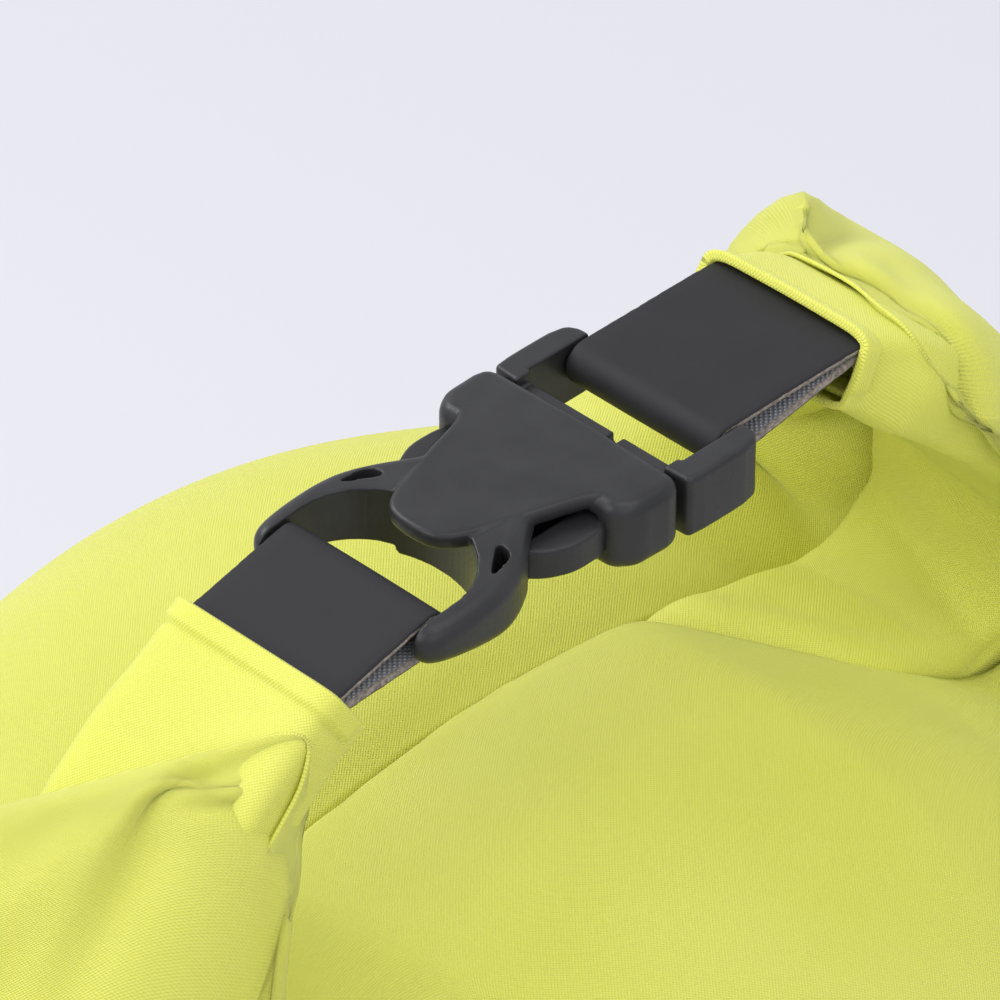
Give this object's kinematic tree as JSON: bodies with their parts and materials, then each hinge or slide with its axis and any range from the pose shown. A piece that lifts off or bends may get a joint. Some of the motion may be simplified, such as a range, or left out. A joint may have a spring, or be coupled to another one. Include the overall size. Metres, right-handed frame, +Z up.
{
  "type": "roll-top dry bag",
  "caption": "Upright waterproof fabric bag whose rolled mouth bends into a carry loop held by a side-release buckle.",
  "frame": {"origin": "centre of the bag's base, on the surface it stands on", "axes": "+Z up along the bag, +X along the buckle from its female half to its male half, +Y from the near side to the far side"},
  "size_m": [0.194, 0.194, 0.4067],
  "materials": {
    "fabric": "lime coated woven nylon, fine visible weave with a soft sheen",
    "strap": "matte black rubber-coated fabric with a grey woven back",
    "buckle": "black moulded acetal with a fine satin grain",
    "stiffener": "plain off-white plastic strip, hidden in the roll",
    "seam_tape": "thin translucent sealing tape"
  },
  "bodies": {
    "bag": {"bag_body": "fabric", "base_panel": "fabric", "base_seam_tape": "seam_tape", "side_seam_tape": "seam_tape", "roll_top": "fabric", "stiffener_front": "stiffener", "stiffener_back": "stiffener", "left_strap": "strap", "buckle_female": "buckle"},
    "male_side": {"roll_right_arm": "fabric", "right_strap": "strap", "buckle_male": "buckle"},
    "near_prong": {"prong_near": "buckle"},
    "far_prong": {"prong_far": "buckle"}
  },
  "joints": [
    {"name": "buckle_release", "type": "slide", "parent": "bag", "child": "male_side", "axis": [1, 0, 0], "range_m": [0, 0.028], "deforming": ["prong_near", "prong_far"]},
    {"name": "near_prong_squeeze", "type": "hinge", "parent": "male_side", "child": "near_prong", "pos_m": [0.0102, -0.0105, 0.40185], "axis": [0, 0, -1], "range_deg": [0, 8], "stiffness_Nm_per_rad": 0.3},
    {"name": "far_prong_squeeze", "type": "hinge", "parent": "male_side", "child": "far_prong", "pos_m": [0.0102, 0.0105, 0.40185], "axis": [0, 0, 1], "range_deg": [0, 8], "stiffness_Nm_per_rad": 0.3}
  ]
}
